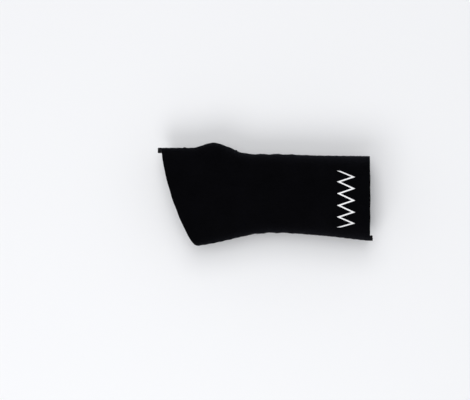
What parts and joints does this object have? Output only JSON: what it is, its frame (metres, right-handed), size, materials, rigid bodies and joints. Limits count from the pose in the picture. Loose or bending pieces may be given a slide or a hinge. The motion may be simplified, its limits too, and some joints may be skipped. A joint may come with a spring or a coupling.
{
  "type": "wrist guard",
  "caption": "Pull-on compression wrist guard for the left hand: laminated stretch-fabric tube with a thumb opening in its side seam.",
  "frame": {"origin": "under the middle of the footprint, on the surface that the palm side lies on", "axes": "+X along the arm towards the forearm, +Y towards the thumb, +Z out of the back of the hand"},
  "size_m": [0.1826, 0.0872, 0.056],
  "materials": {
    "jersey": "matte fine knit",
    "foam": "closed-cell foam",
    "lining": "brushed loop knit",
    "thread": "textured polyester thread",
    "transfer_film": "soft heat-transfer film",
    "satin": "woven satin ribbon"
  },
  "bodies": {
    "guard": {"back_outer_jersey": "jersey", "back_foam_core": "foam", "back_lining": "lining", "palm_outer_jersey": "jersey", "palm_foam_core": "foam", "palm_lining": "lining", "web_seam_overlock": "thread", "thumb_side_seam_overlock": "thread", "little_finger_seam_overlock": "thread", "web_bar_tack": "thread", "wrist_bar_tack": "thread", "cuff_print": "transfer_film"},
    "label": {"care_label": "satin"}
  },
  "joints": [
    {"name": "label_flap", "type": "hinge", "parent": "guard", "child": "label", "pos_m": [0.05733, -0.03218, 0.02175], "axis": [0.9951, -0.0991, 0], "range_deg": [0, 80]}
  ]
}
